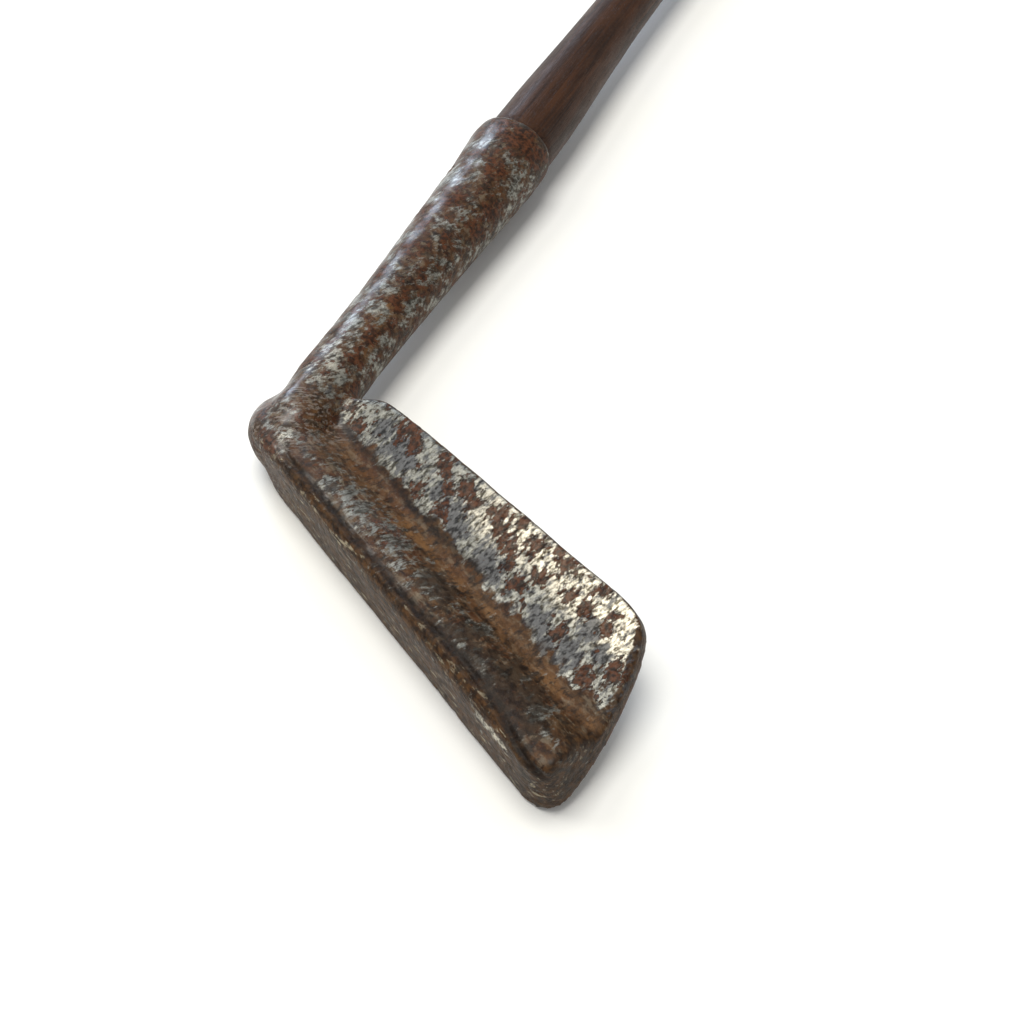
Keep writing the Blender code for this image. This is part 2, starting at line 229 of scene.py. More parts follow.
def relax(points, edges, strength, rounds):
    """Draws each point towards the middle of its neighbours."""
    a, b = edges[:, 0], edges[:, 1]
    count = len(points)
    near = np.bincount(a, minlength=count) + np.bincount(b, minlength=count)
    strength = np.broadcast_to(strength, count)[:, None]
    for _ in range(rounds):
        total = np.empty_like(points)
        for axis in range(3):
            total[:, axis] = np.bincount(a, points[b, axis], count)
            total[:, axis] += np.bincount(b, points[a, axis], count)
        points = points + strength * (total / near[:, None] - points)
    return points


def spots(x, w, places):
    """1 at the middle of the nearest spot, 0 at its edge, down to -1 away from them all."""
    field = np.full(len(x), -1.0)
    for at_x, at_w, radius in places:
        field = np.maximum(field, 1 - np.hypot(x - at_x, w - at_w) / radius)
    return field


# Spots of the back, each (x, w, radius)
RUST_SPOTS = [
    (12.5, 26.0, 2.4), (15.5, 25.0, 1.6), (22.9, 27.1, 1.9), (25.2, 25.6, 1.0), (29.6, 26.7, 1.9),
    (27.4, 24.0, 1.6), (32.8, 25.5, 1.4), (37.8, 27.8, 2.0), (39.5, 26.0, 1.6), (42.4, 29.9, 1.3),
    (43.4, 25.2, 2.1), (45.5, 24.0, 1.3), (47.1, 28.4, 1.9), (51.0, 30.9, 1.2), (54.0, 30.5, 1.8),
    (52.0, 25.9, 1.6), (50.0, 22.4, 1.8), (46.5, 22.7, 1.0), (61.7, 31.9, 1.4), (58.6, 27.2, 1.7),
    (62.0, 27.8, 1.7), (66.3, 29.9, 1.0), (67.2, 28.1, 1.5), (62.0, 21.6, 1.6), (29.8, 20.3, 1.9),
    (23.0, 19.5, 1.6), (70.9, 20.5, 2.0), (73.9, 24.4, 2.0), (74.6, 18.4, 1.6), (4.6, 19.4, 2.0),
    (-0.4, 21.4, 1.7),
]  # fmt: skip
SLATE_PATCHES = [
    (9.0, 22.6, 2.2), (13.5, 22.4, 2.8), (17.0, 21.6, 2.4), (31.6, 22.0, 2.8), (34.5, 20.6, 2.4),
    (26.0, 22.4, 1.8), (42.6, 20.2, 3.0), (45.5, 20.0, 2.4), (65.4, 25.8, 2.6), (66.0, 20.6, 2.8),
    (69.6, 24.8, 1.9), (58.0, 20.2, 2.6), (62.5, 18.4, 2.4),
]  # fmt: skip
# Worn bare patches of the muscle, each (x, w, radius); the first, on the heel's knuckle, also paints the
# heel's highlight
MUSCLE_WORN = [
    (1.5, 9.4, 2.6), (15.6, 9.6, 2.4), (18.4, 11.4, 2.2), (22.4, 10.4, 3.0), (27.0, 8.2, 1.9),
    (28.0, 11.6, 2.6), (32.6, 11.0, 3.2), (36.6, 9.6, 2.2), (41.4, 9.2, 1.2), (54.4, 14.0, 2.0),
    (73.5, 11.6, 2.4), (78.4, 11.8, 2.2),
]  # fmt: skip
MUSCLE_SLATE = [
    (16.0, 9.2, 1.2), (45.0, 12.6, 2.8), (41.6, 12.0, 2.0), (54.0, 10.6, 3.2), (59.0, 9.6, 3.6),
    (64.5, 11.0, 4.2), (69.5, 10.4, 4.4), (74.0, 9.0, 2.8),
]  # fmt: skip
RING_PIT = (71.4, 30.3, 0.75)  # x, w, radius
CREASE_W = 7.25  # where the muscle turns under to the sole
# The blade's toe edge, from the sole up to the top corner: (w, x)
TOE_LINE = [(-3.0, 83.2), (4.0, 83.2), (10.8, 82.0), (17.7, 79.7), (24.4, 76.8), (29.2, 73.9),
            (32.0, 71.4), (33.2, 67.8)]  # fmt: skip
# Where hammering drew the heel in, from its lowest point: (place, how far, how wide)
HEEL_DRAWN_IN = [
    ((-7.8, 9.2, 12.9), 1.7, 3.8),
    ((-6.2, 1.4, 7.0), 0.9, 3.0),
    ((-5.5, 14.5, 13.5), 0.9, 4.0),
    ((-3.4, 1.6, 1.2), 0.5, 2.6),
]
HEEL_BALL = np.array((-5.0, 3.5, 8.0))  # middle of the rounded heel, from its lowest point
NECK = (0.5, 17.5, 6.0)  # x, w, t of the hollow where hosel and upper blade meet
SOFTENING_ROUNDS = 36
SKY_SIDE = np.array((-0.35, 0.1, 0.93))  # the way that handled metal shines


def most(*fields):
    return np.maximum.reduce(fields)


def within(place, field):
    """A field on a place, which falls to -1 away from it."""
    return place * field + (place - 1)


def valley_line(x):
    """w of the middle of the orange band between muscle and upper blade."""
    return 14.7 + 1.4 * ease(x, 25, 50)


def crease_line(x):
    """w of the crease, which runs down towards the sole at the toe."""
    return CREASE_W + 0.3 * ease(x, 40, 60) - 2.0 * ease(x, 67, 79)


def near_crease(points, at, width, below=0.0):
    """1 on the wandering crease, or on a line below it, and 0 at some widths away."""
    wander = 0.35 * lumps(points, 7.0, HEAD_SEED * 2)
    return hump(at.w, crease_line(at.x) + wander - below, width) * ease(at.t, 9.5, 11.5)


def forging_places(points, normals):
    """Where each point is on the forging, with shares from 0 to 1 for its main parts."""
    at = SimpleNamespace()
    at.x, at.w, at.t = on_blade(points)
    at.up, at.radius, _ = on_shaft(points)
    at.back = ease(normals @ FACE_BACK, -0.1, 0.5)
    at.hosel = ease(at.up, 12, 19) * ease(at.radius, 10.5, 8.5)
    rough_w = at.w + 1.3 * lumps(points, 5.0) + 1.5 * lumps(points, 1.9)
    at.upper = ease(rough_w, 17.6, 19.4) * (1 - at.hosel) * at.back
    over_crease = rough_w * 0.25 + at.w * 0.75 - crease_line(at.x)
    at.muscle = ease(over_crease, -0.4, 0.7) * ease(at.w, 15.5, 13.0) * ease(at.t, 4.4, 6.5)
    at.sole = ease(over_crease, 0.2, -0.6) * ease(at.t, 0.4, 1.6) * (1 - at.hosel)
    return at


def worn_round(points):
    """How far the forging's corners are worn round, from 0 to 1 at each point."""
    x, w, t = on_blade(points)
    up, radius, _ = on_shaft(points)
    from_neck = np.linalg.norm(points - blade_point(*NECK), axis=1)
    from_heel = np.linalg.norm(points - HEEL_POINT - HEEL_BALL, axis=1)
    neck = ease(from_neck, 13.0, 6.0) * ease(up, 33, 30)
    valley = ease(w, 5.0, 8.0) * ease(w, 20, 16) * ease(t, 3.9, 4.6) * ease(radius, 8, 12)
    ridge = ease(w, 2.0, 3.4) * ease(w, 8.5, 6.5) * ease(t, 8.5, 10.5) * ease(x, 78, 73)
    return most(neck, 0.6 * valley, ease(from_heel, 12.0, 7.0), 0.9 * ridge)


def drawn_heel(points):
    """The forging with its heel drawn in, and its socket's mouth a little fuller on the heel's side."""
    away = points - HEEL_POINT
    moved = points.copy()
    for place, depth, width in HEEL_DRAWN_IN:
        share = np.exp(-((away - np.array(place)) ** 2).sum(1) / width**2)
        moved += depth * share[:, None] * ACROSS_HEEL
    up, radius, angle = on_shaft(points)
    fuller = 0.8 * hump(angle, math.radians(157), 0.8) * ease(up, 80, 93) * ease(radius, 7.6, 8.0)
    return moved + (fuller / np.maximum(radius, 1.0))[:, None] * off_axis(moved)


def socket_wall(points, normals, at):
    """1 on the socket's own wall, whose normals point at the axis."""
    facing = -(off_axis(points) * normals).sum(1) / np.maximum(at.radius, 0.1)
    return facing * ease(at.up, SOCKET_BOTTOM - 1.5, SOCKET_BOTTOM) * ease(at.radius, 8.2, 7.8)


def hammer_and_rust(points, normals, at):
    """How far the forging's skin stands out: hammer lumps, rust pits, the crease and the ring pit."""
    outside = ease(at.radius, 7.9, 8.0) + ease(at.up, 94, 30) * ease(at.up, 33, 32.5)
    outside = np.maximum(outside, 1 - ease(socket_wall(points, normals, at), 0.3, 0.6))
    rusty = 1 - 0.75 * at.upper
    height = 0.16 * lumps(points, 13.0) + 0.08 * lumps(points, 6.0)
    height -= 0.22 * np.clip(lumps(points, 1.5) - 0.18, 0, 1) * rusty
    height += 0.05 * lumps(points, 2.4) * rusty
    past_heel = ease(at.x, 0, 9)
    depth = 0.55 * (0.8 + 0.6 * lumps(points, 5.0, HEAD_SEED * 3))
    height -= depth * near_crease(points, at, 0.6) * past_heel
    height += 0.14 * near_crease(points, at, 0.5, below=1.1) * past_heel
    ring_x, ring_w, ring_radius = RING_PIT
    from_ring = np.hypot(at.x - ring_x, at.w - ring_w)
    height -= 0.16 * hump(from_ring, ring_radius, 0.4) * at.upper
    return height * np.clip(outside, 0, 1)


def add_small_places(points, normals, at):
    """Adds the noise that frays the finish, and shares for the forging's smaller parts."""
    facing_back = normals @ FACE_BACK
    off_hosel = 1 - at.hosel
    at.broad = lumps(points, 11.0, HEAD_SEED * 1.5)
    at.middle = lumps(points, 4.2, HEAD_SEED * 2.5)
    at.small = lumps(points, 1.7, HEAD_SEED * 3.5)
    at.streaky = lumps(np.stack([at.x / 4.0, at.w, at.t], 1), 2.2, HEAD_SEED * 4.5)
    at.face = (1 - at.back) * ease(at.t, 0.9, 0.3) * ease(at.w, 1, 3) * off_hosel
    at.heel = ease(at.x, 9, 2) * ease(at.up, 17, 12) * at.back * (1 - at.upper)
    at.collar = ease(at.up, 86, 90) * at.hosel
    at.lip = hump(at.up, HOSEL_MOUTH - 0.5, 0.35) * ease(at.radius, 7.9, 8.1)
    at.neck = hump(at.up, 20.0, 6.5) * ease(at.radius, 12, 10) * ease(facing_back, 0.5, 0.9)
    at.crease = near_crease(points, at, 0.8) * ease(at.x, 1, 10)

    # Bevels of the top edge and toe, which turn away from the back, get painted shade from this mask; the
    # toe's rim added to it is a real brown band
    top_or_toe = np.maximum(ease(at.w, 17, 21), ease(at.x, 72, 78))
    edge = (1 - ease(facing_back, 0.5, 0.88)) * top_or_toe * ease(at.t, 1.0, 2.0)
    from_toe = np.interp(at.w, *zip(*TOE_LINE)) - at.x
    toe_rim = ease(from_toe + 0.5 * at.middle + 0.4 * at.small, 1.9, 0.9) * at.back * ease(at.w, 33, 31)
    at.edge = np.maximum(edge, 0.9 * toe_rim) * off_hosel
    toe_end = ease(at.x + 0.37 * (at.w - 4), 81.5, 83.5) * ease(at.w, 13, 9)
    at.toe_edge = np.maximum(toe_end, at.edge) * off_hosel

    at.worn = ease(spots(at.x, at.w, MUSCLE_WORN), -0.5, 0.8) * at.muscle
    at.scratch = hump(at.w, 4.0, 0.45) * ease(at.x, 64, 68) * ease(at.x, 79.5, 77) * ease(at.t, 7, 9)
    # A small rubbed spot on the heel's knuckle, bare and polished: wear that also paints the heel's
    # highlight
    from_heel_highlight = np.hypot(at.x - 1.6, at.w - 9.0) + 0.5 * at.small
    at.rubbed = hump(from_heel_highlight, 0.0, 1.3) * at.back * ease(at.t, 8, 10)


def bare_metal(at):
    """(how bare of rust the iron is, how brightly it is polished, the polish also painting a highlight on
    the upper blade's toe half and on the heel).
    """
    upper = at.upper * (0.8 - 0.22 * ease(at.x, 58, 68) * ease(at.w, 26, 22))
    worn = at.worn * (0.62 + 0.12 * at.middle)
    muscle = at.muscle * (0.18 + 0.5 * at.streaky)
    face = at.face * (0.34 + 0.3 * at.broad)
    hosel = at.hosel * (0.27 + 0.5 * at.middle + 0.25 * at.broad) + 0.28 * at.neck
    heel = at.heel * (0.02 + 0.22 * at.middle)
    bare = np.minimum(most(upper, worn, muscle, face, hosel, heel), 1 - 0.6 * at.heel)
    bare = most(bare, 0.62 * at.rubbed, at.sole * (0.02 + 0.16 * at.broad), 0.85 * at.scratch)
    # Less bare metal on the turned-away edges is painted shade; the toe edge, crease and collar are duller
    bare *= (1 - at.toe_edge) * (1 - 0.8 * at.crease) * (1 - 0.75 * at.edge) * (1 - 0.45 * at.collar)
    # Painted highlight in the polish: brighter bare metal on the upper blade's toe half, where the lamp's
    # reflection falls, and on the heel's rubbed spot
    polish_and_highlight = at.upper * ease(at.x, 24, 44) * ease(at.w - 0.09 * (at.x - 30) - 1.6 * at.middle, 20.5, 25.5)
    polish_and_highlight = most(polish_and_highlight, 0.7 * at.scratch, 0.35 * at.neck, 0.8 * at.rubbed)
    return np.maximum(bare, 0.7 * at.lip), polish_and_highlight


def rust_and_slate(at):
    """(rust spots, slate oxide): fields that are above 0 where they cover the iron."""
    rust = most(
        np.where(at.upper > 0.5, 0.66 * spots(at.x, at.w, RUST_SPOTS) - 0.03, -1.0),
        within(at.upper, 1.6 * at.small - 0.88),
        within(at.hosel, 0.4 * at.small - 0.9 * at.middle - 0.2 + 0.25 * at.collar),
        within(at.face, 0.9 * at.middle + 0.4 * at.small),
        within(at.muscle, 0.8 * at.broad + 0.5 * at.small - 0.7),
        within(at.heel, 0.9 * at.middle - 0.3),
    )
    patches = np.where(at.upper > 0.3, spots(at.x, at.w, SLATE_PATCHES), spots(at.x, at.w, MUSCLE_SLATE))
    slate = np.where((at.upper > 0.3) | (at.muscle > 0.3), 0.8 * patches, -1.0)
    slate = np.maximum(slate, 0.9 * at.collar * (at.middle + 0.2) - 0.2)
    return np.where(at.lip > 0.3, -1.0, rust), slate


def orange_rust(at):
    """Powdery rust along the valley and in broad patches of the hosel."""
    valley = hump(at.w + 0.9 * at.streaky, valley_line(at.x), 1.6) * at.back * ease(at.x, -7, 2)
    valley = valley * (1 - at.hosel) * (0.5 + 0.9 * ease(at.streaky + 0.4 * at.middle, -0.3, 0.4))
    return np.maximum(valley, 0.9 * at.hosel * ease(at.broad, 0.05, 0.45) * ease(at.up, 76, 62))


def grime_and_shade_in_hollows(at):
    """Darkening above the valley and in the crease, painted shade beside the crease and on the edges that
    turn away, and a dark joint inside the socket's rim.
    """
    above = hump(at.w + 0.5 * at.streaky, valley_line(at.x) + 2.9, 0.8) * at.back
    above = above * ease(at.x, -2, 5) * ease(at.x, 50, 34)
    # Painted shade in a band beside the crease, towards the toe
    shade_beside_crease = hump(at.w, crease_line(at.x) + 0.7, 1.2) * ease(at.x, 38, 50) * ease(at.x, 80, 75) * at.muscle
    rim = ease(at.up, HOSEL_MOUTH - 0.3, HOSEL_MOUTH - 0.1) * ease(at.radius, 8.0, 7.7)
    return np.clip(0.85 * above + 1.2 * at.crease + rim + 0.3 * at.edge + 0.5 * shade_beside_crease, 0, 1)


def handled_sheen(normals, at):
    """The soft shine that hands leave on hosel, heel and the heel's half of the muscle."""
    handled = np.clip(at.hosel + 1.3 * at.heel + at.muscle * (0.7 - 0.6 * ease(at.x, 38, 48)), 0, 1)
    uneven = (0.6 + 0.9 * at.middle + 0.4 * at.small) * (1 - 0.3 * at.hosel)
    return np.clip(ease(normals @ SKY_SIDE, 0.45, 0.85) * handled * uneven, 0, 1)


def iron_skin(points, normals, at):
    """The forging's finish, as the numbers that the rusted iron reads from each vertex."""
    add_small_places(points, normals, at)
    bare, polish_and_highlight = bare_metal(at)
    rust, slate = rust_and_slate(at)
    orange = orange_rust(at)
    scrape = 0.85 * at.sole + 0.3 * at.worn + 0.25 * at.toe_edge + 0.2 * at.muscle
    scrape = np.clip(scrape + 0.3 * at.upper + 0.14 * orange, 0, 1)
    return {
        "bare": bare,
        "polish_and_highlight": polish_and_highlight,
        "rust": rust,
        "slate": slate,
        "orange": np.clip(orange, 0, 1.2),
        "grime_and_shade": grime_and_shade_in_hollows(at),
        "scrape": scrape,
        "sole": np.maximum(at.sole, at.toe_edge),
        "heel": at.heel,
        "upper": at.upper,
        "sheen": handled_sheen(normals, at),
    }


def forged_head(material):
    """Blade, muscle, heel and hosel, with hammer lumps, rust pits and a worn finish."""
    mesh = even_mesh("iron_head", VOXEL)
    edges = np.empty(len(mesh.edges) * 2, np.int64)
    mesh.edges.foreach_get("vertices", edges)
    edges = edges.reshape(-1, 2)
    points = relax(mesh_points(mesh), edges, 0.5, 4)
    points = relax(drawn_heel(points), edges, 0.5 * worn_round(points), SOFTENING_ROUNDS)
    set_points(mesh, points)
    normals = mesh_normals(mesh)
    at = forging_places(points, normals)
    points = points + normals * hammer_and_rust(points, normals, at)[:, None]
    uneven_mouth = ease(at.up, HOSEL_MOUTH - 3, HOSEL_MOUTH) * 0.12 * lumps(points, 6.0)
    points = points + uneven_mouth[:, None] * SHAFT_WAY
    set_points(mesh, points)
    normals = mesh_normals(mesh)
    for name, values in iron_skin(points, normals, forging_places(points, normals)).items():
        paint(mesh, name, values)
    return piece("forged_head", mesh, material, "iron_head")


def peened_pin(material):
    """The rivet through hosel and tenon, hammered flush and a little domed at both ends."""
    ends = [(1.0, 0.0), (0.985, 0.55), (0.965, 0.85), (0.93, 1.0), (0.85, 0.97), (0.7, 0.83)]
    stations = [*ends, *[(-share, radius) for share, radius in reversed(ends)]]
    way = circle(PIN_ANGLE)
    ring = circle(np.linspace(0, TURN, 24, endpoint=False), np.cross(way, SHAFT_WAY), SHAFT_WAY)
    middle = AXIS_FOOT + PIN_PLACE * SHAFT_WAY
    rings = []
    for share, radius in stations:
        rings.append(middle + share * PIN_HALF * way + PIN_RADIUS * max(radius, 0.02) * ring)
    mesh = skin_rings("peened_pin", rings)
    return piece("peened_pin", mesh, material, "hosel_pin")


# ---------------------------------------------------------------- shaft


def shaft_profile():
    """(distances up the axis, radii) of the CAD shaft, ring by ring."""
    up, radius, _ = on_shaft(mesh_points(frame["nodes"]["shaft"].data))
    rings, index, counts = np.unique(np.round(up, 1), return_inverse=True, return_counts=True)
    widest = np.zeros(len(rings))
    np.maximum.at(widest, index.ravel(), radius)
    turned = (counts >= 30) & (widest > 3)
    return rings[turned], widest[turned]


SHAFT_UPS, SHAFT_RADII = shaft_profile()


def shaft_radius(up):
    return np.interp(up, SHAFT_UPS, SHAFT_RADII)


def shaft_bow(up):
    """How far the old shaft leans to the heel's side above the socket."""
    return 1.0 * ease(up, 97, 160) * ease(up, 330, 190)


def hickory_shaft(material):
    """Tenon, neck and butt of one stave, with the slight flats that a plane and scraper leave."""
    fine = np.arange(98.0, 210, 0.8)
    ups = np.concatenate([
        np.arange(SOCKET_BOTTOM + 0.5, 95, 4.0),
        (96.4, 96.8, 97.3),
        fine,
        np.arange(212.0, 948, 4.0),
        (948.0, 950.0, 951.2, 951.6, 951.9, 952.0),
    ])  # fmt: skip
    angles = np.linspace(0, TURN, 64, endpoint=False)
    rings = []
    for up in ups:
        radius = np.full(len(angles), shaft_radius(min(up, CLUB_LENGTH - BUTT_CHAMFER)))
        radius -= max(0.0, up - (CLUB_LENGTH - BUTT_CHAMFER)) * 0.9
        if up > HOSEL_MOUTH + 1 and up < GRIP_BOTTOM:
            radius += [
                0.07 * noise.noise(Vector((2 * math.cos(a), 2 * math.sin(a), up / 28)))
                + 0.03 * noise.noise(Vector((5 * math.cos(a), 5 * math.sin(a), up / 5)))
                for a in angles
            ]
        rings.append(round_shaft(up, radius, angles) - shaft_bow(up) * TOE_SIDE)
    mesh = skin_rings("hickory_shaft", rings)
    return piece("hickory_shaft", mesh, material, "shaft")


# ---------------------------------------------------------------- grip


def padding(up):
    """How far the leather's underside stands off the wood: thin at its skived lower end."""
    return 0.3 + 1.2 * ease(up, GRIP_BOTTOM + 2, GRIP_BOTTOM + 14)


def leather_share(up):
    """The share of its full thickness that the leather has, being skived at its lower end."""
    return 0.35 + 0.65 * ease(up, GRIP_BOTTOM - 0.5, GRIP_BOTTOM + 10)


def leather_surface(up):
    return shaft_radius(up) + padding(up) + LEATHER_THICK * leather_share(up)


def strip_section(down, up):
    """(top, underside) of the strip over its padding, at distances below its proud upper edge."""
    upper_thread = UPPER_WHIPPING[0]
    proud = STRIP_PROUD * ease(up, GRIP_BOTTOM + 11, GRIP_BOTTOM + 17)
    proud = proud * ease(up, upper_thread - 1, upper_thread - 7)
    top = LEATHER_THICK + proud * ease(down, 8, 1)
    top -= 0.75 * (1 - np.sqrt(1 - (1 - np.clip(down / 0.7, 0, 1)) ** 2))
    top -= (LEATHER_THICK - 0.4) * ease(down, STRIP_PITCH - 0.5, STRIP_PITCH + STRIP_LAP)
    under = proud * ease(down, STRIP_LAP + 2.0, STRIP_LAP)
    return top, under


def grip_strip(material):
    """One leather strip wound up the grip, each turn's upper edge lapping on the next."""
    width = STRIP_PITCH + STRIP_LAP
    tip = 1.0
    first = (GRIP_BOTTOM + tip) / STRIP_PITCH * TURN
    last = (LEATHER_TOP + width - tip) / STRIP_PITCH * TURN
    angles = np.arange(first, last, TURN / 64)
    over = np.array([0, 0.004, 0.012, 0.024, 0.05, 0.1, 0.17, 0.25, 0.34, 0.45, 0.56, 0.67, 0.78,
                     0.87, 0.92, 0.95, 0.975, 1.0])  # fmt: skip
    below = np.array([1.0, 0.93, 0.8, 0.6, 0.4, 0.22, 0.12, 0.05, 0.0])
    rings, worn = [], []
    for angle in angles:
        edge = angle / TURN * STRIP_PITCH
        nearest = max(0.0, edge - LEATHER_TOP)
        furthest = min(width, edge - GRIP_BOTTOM)
        downs = nearest + (furthest - nearest) * over
        unders = nearest + (furthest - nearest) * below
        ups, low_ups = edge - downs, edge - unders
        base, low_base = shaft_radius(ups) + padding(ups), shaft_radius(low_ups) + padding(low_ups)
        thumb = [
            0.10 * noise.noise(Vector((up / 9, math.cos(angle) * 2, math.sin(angle) * 2)))
            + 0.035 * noise.noise(Vector((up / 1.6, math.cos(angle) * 8, math.sin(angle) * 8)))
            for up in ups
        ]
        top = base + strip_section(downs, ups)[0] * leather_share(ups) + thumb
        under = low_base + strip_section(unders, low_ups)[1] * leather_share(low_ups)
        outer = round_shaft(ups, top, -angle)
        inner = round_shaft(low_ups, under, -angle)
        rings.append(np.concatenate([outer, inner]))
        worn.append(np.concatenate([ease(downs - nearest, 2.2, 0.2), np.zeros(len(below))]))
    mesh = skin_rings("grip_strip", rings)
    paint(mesh, "edge_wear", np.concatenate(worn))
    return piece("grip_strip", mesh, material, "grip_leather")


def whipping_seat(up):
    """The radius that the thread is wound on, from bare wood up over the skived leather."""
    cover = padding(up) + LEATHER_THICK * leather_share(up)
    return shaft_radius(up) + cover * ease(up, GRIP_BOTTOM - 2, GRIP_BOTTOM + 1)


def whipping(name, node, span, material):
    """Waxed thread wound turn against turn, with its two ends tucked under."""
    bottom, turns = span
    steps, sides = 56, 10
    pitch = 2 * THREAD_RADIUS
    sweep = np.arange(0, turns * steps + 1)
    angles = sweep / steps * TURN
    ups = bottom + THREAD_RADIUS + np.clip(sweep / steps - 0.5, 0, turns - 1) * pitch
    tuck = 1 - ease(sweep, 0, steps / 5) * ease(sweep, turns * steps, (turns - 0.2) * steps)
    sway = np.array([0.05 * noise.noise(Vector((a * 0.8, up, 3.1))) for a, up in zip(angles, ups)])
    centres = round_shaft(ups + sway, whipping_seat(ups) + THREAD_RADIUS * (1 - 1.6 * tuck), angles)
    around = np.linspace(0, TURN, sides, endpoint=False)
    rings = []
    for centre, angle in zip(centres, angles):
        rings.append(centre + 1.04 * THREAD_RADIUS * circle(around, circle(angle), SHAFT_WAY))
    mesh = skin_rings(name, rings)
    paint(mesh, "twist", np.tile(around / TURN, len(rings)) + np.repeat(angles * 2.2, sides))
    return piece(name, mesh, material, node)


def cloth_wrap(material):
    """The cloth strip wound on the wood under the leather, lapped like the leather over it."""
    ups = [*np.arange(GRIP_BOTTOM + 5, LEATHER_TOP - 0.8, 1.5), LEATHER_TOP - 0.6, LEATHER_TOP - 0.4]
    angles = np.linspace(0, TURN, 48, endpoint=False)
    outer, inner = [], []
    for up in ups:
        lap = 0.12 * ((up / 25 + angles / TURN) % 1.0)
        outer.append(round_shaft(up, shaft_radius(up) + padding(up) - 0.24 + lap, angles))
        inner.append(round_shaft(up, shaft_radius(up) + 0.22, angles))
    mesh = skin_rings("cloth_wrap", [*outer, *reversed(inner)], capped=False, closed=True)
    return piece("cloth_wrap", mesh, material, "grip_underlisting")


def domed_tack(name, place, node, material):
    """A domed steel tack with a pointed shank."""
    up, angle = place
    head_radius, head_height = TACK_HEAD
    shank_radius, shank_length = TACK_SHANK
    out = circle(angle)
    seat = AXIS_FOOT + up * SHAFT_WAY + (leather_surface(up) + 0.05) * out
    dome = [(head_height * math.sin(a), head_radius * math.cos(a)) for a in np.radians(range(88, -1, -11))]
    profile = [*dome, (-0.12, head_radius - 0.15), (-0.05, shank_radius + 0.1),
               (-0.7 * shank_length, shank_radius), (-shank_length, 0.05)]  # fmt: skip
    ring = circle(np.linspace(0, TURN, 32, endpoint=False), np.cross(out, SHAFT_WAY), SHAFT_WAY)
    rings = [seat + height * out + max(radius, 0.03) * ring for height, radius in profile]
    return piece(name, skin_rings(name, rings[::-1]), material, node)


# ---------------------------------------------------------------- nodes


def colour(red, green, blue):
    """A linear colour from the 0 to 255 shades of a paint chart."""
    shades = [value / 255 for value in (red, green, blue)]
    return (*[s / 12.92 if s <= 0.04045 else ((s + 0.055) / 1.055) ** 2.4 for s in shades], 1.0)


def feed(tree, socket, value):
    if isinstance(value, bpy.types.NodeSocket):
        tree.links.new(value, socket)
    else:
        socket.default_value = value


def add(tree, kind, inputs=None, **settings):
    node = tree.nodes.new(kind)
    for name, value in settings.items():
        setattr(node, name, value)
    for socket, value in (inputs or {}).items():
        feed(tree, node.inputs[socket], value)
    return node


def reckon(tree, operation, *numbers, clamp=False):
    inputs = dict(enumerate(numbers))
    return add(tree, "ShaderNodeMath", inputs, operation=operation, use_clamp=clamp).outputs[0]


def times(tree, a, b, clamp=False):
    return reckon(tree, "MULTIPLY", a, b, clamp=clamp)


def plus(tree, a, b):
    return reckon(tree, "ADD", a, b)


def minus(tree, a, b):
    return reckon(tree, "SUBTRACT", a, b)


def divided(tree, a, b):
    return reckon(tree, "DIVIDE", a, b)


def layer(tree, share, under, over):
    """One colour over another, by a share."""
    return add(tree, "ShaderNodeMix", {0: share, 6: under, 7: over}, data_type="RGBA").outputs[2]


def between(tree, share, low, high):
    """A number between two others, by a share."""
    return add(tree, "ShaderNodeMix", {0: share, 2: low, 3: high}, data_type="FLOAT").outputs[0]


def rise(tree, value, low, high):
    """0 below low, 1 above high, and a smooth rise between them."""
    inputs = {"Value": value, "From Min": low, "From Max": high}
    return add(tree, "ShaderNodeMapRange", inputs, interpolation_type="SMOOTHSTEP").outputs[0]


def cloud(tree, vector, scale, detail=4.0, rough=0.6, twist=0.0):
    inputs = {"Vector": vector, "Scale": scale, "Detail": detail, "Roughness": rough, "Distortion": twist}
    return add(tree, "ShaderNodeTexNoise", inputs).outputs["Fac"]


def painted(tree, name):
    return add(tree, "ShaderNodeAttribute", attribute_name=name).outputs["Fac"]


def millimetres(tree, turn=0.0, stretch=(1.0, 1.0, 1.0)):
    """The place on the club in mm, turned about Z and divided by a stretch."""
    place = add(tree, "ShaderNodeTexCoord").outputs["Object"]
    turned = add(tree, "ShaderNodeMapping", {"Vector": place, "Rotation": (0, 0, turn)}).outputs[0]
    scale = tuple(1 / MM / value for value in stretch)
    return add(tree, "ShaderNodeVectorMath", {0: turned, 1: scale}, operation="MULTIPLY").outputs[0]


def new_group(name, inputs, outputs):
    """A shader node group with named sockets: (its tree, its inputs, its outputs)."""
    tree = bpy.data.node_groups.new(name, "ShaderNodeTree")
    for label, kind, start in inputs:
        socket = tree.interface.new_socket(label, in_out="INPUT", socket_type=f"NodeSocket{kind}")
        if start is not None:
            socket.default_value = start
    for label in outputs:
        tree.interface.new_socket(label, in_out="OUTPUT", socket_type="NodeSocketFloat")
    return tree, tree.nodes.new("NodeGroupInput").outputs, tree.nodes.new("NodeGroupOutput").inputs


def mottle_group():
    """Cloudy patches of a size, made crisper by Contrast."""
    tree, given, out = new_group(
        "mottle",
        [("Vector", "Vector", None), ("Size", "Float", 1.0), ("Cover", "Float", 0.5),
         ("Contrast", "Float", 1.0)],
        ["Mask"],
    )  # fmt: skip
    scale = divided(tree, 1.0, given["Size"])
    value = cloud(tree, given["Vector"], scale, 5.0, 0.62)
    middle = minus(tree, 1.0, given["Cover"])
    middle = reckon(tree, "MULTIPLY_ADD", middle, 0.5, 0.25)
    half = divided(tree, 0.16, given["Contrast"])
    low = minus(tree, middle, half)
    high = plus(tree, middle, half)
    feed(tree, out["Mask"], rise(tree, value, low, high))
    return tree


